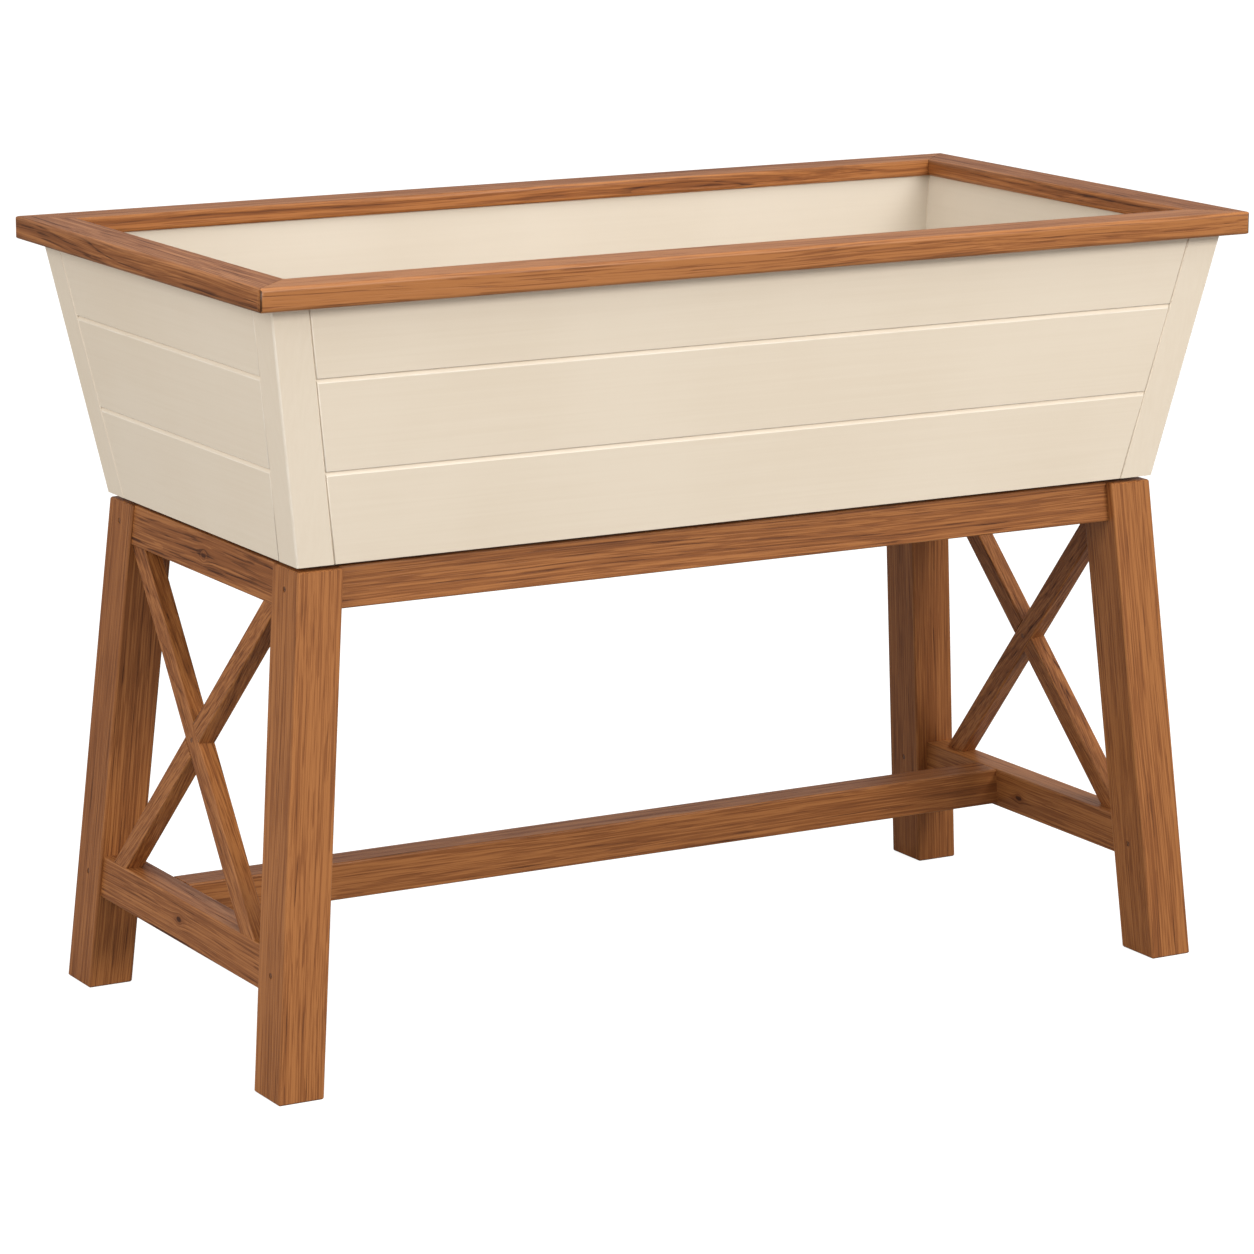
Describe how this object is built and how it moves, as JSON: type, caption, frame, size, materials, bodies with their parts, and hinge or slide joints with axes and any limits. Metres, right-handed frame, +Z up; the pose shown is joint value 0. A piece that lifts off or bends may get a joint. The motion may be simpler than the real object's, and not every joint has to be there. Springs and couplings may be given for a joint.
{
  "type": "raised planter on legs",
  "caption": "Raised planter: a tapered, board-faced trough under a mitred wooden rim, on a splayed wooden stand with X-braced ends and a low long stretcher.",
  "frame": {"origin": "on the floor under the middle of the planter", "axes": "+X along the length, +Y to the back, +Z up"},
  "size_m": [1.2, 0.616, 0.85],
  "materials": {
    "teak": "oiled teak, satin",
    "cream_paint": "cream painted wood, satin",
    "floor_wood": "bare sawn softwood",
    "peg_wood": "oiled hardwood end grain",
    "screw_steel": "stainless steel"
  },
  "bodies": {
    "root": {"apron_back": "teak", "apron_front": "teak", "bearer_left": "floor_wood", "bearer_middle": "floor_wood", "bearer_right": "floor_wood", "bearer_screws": "screw_steel", "board_back_lower": "cream_paint", "board_back_middle": "cream_paint", "board_back_upper": "cream_paint", "board_front_lower": "cream_paint", "board_front_middle": "cream_paint", "board_front_upper": "cream_paint", "board_left_lower": "cream_paint", "board_left_middle": "cream_paint", "board_left_upper": "cream_paint", "board_right_lower": "cream_paint", "board_right_middle": "cream_paint", "board_right_upper": "cream_paint", "brace_dowels": "peg_wood", "brace_left_inner": "teak", "brace_left_outer": "teak", "brace_pins": "peg_wood", "brace_right_inner": "teak", "brace_right_outer": "teak", "end_rail_left": "teak", "end_rail_right": "teak", "end_stretcher_left": "teak", "end_stretcher_right": "teak", "floor_screws": "screw_steel", "floor_slat_1": "floor_wood", "floor_slat_2": "floor_wood", "floor_slat_3": "floor_wood", "floor_slat_4": "floor_wood", "leg_back_left": "teak", "leg_back_right": "teak", "leg_front_left": "teak", "leg_front_right": "teak", "lining_back": "cream_paint", "lining_front": "cream_paint", "lining_left": "cream_paint", "lining_right": "cream_paint", "long_stretcher": "teak", "rail_pegs": "peg_wood", "rim_back": "teak", "rim_biscuits": "peg_wood", "rim_dowels": "peg_wood", "rim_front": "teak", "rim_left": "teak", "rim_right": "teak", "stile_back_left": "cream_paint", "stile_back_right": "cream_paint", "stile_front_left": "cream_paint", "stile_front_right": "cream_paint", "stile_left_back": "cream_paint", "stile_left_front": "cream_paint", "stile_right_back": "cream_paint", "stile_right_front": "cream_paint", "stretcher_pegs": "peg_wood", "stretcher_screws": "screw_steel"}
  },
  "joints": []
}
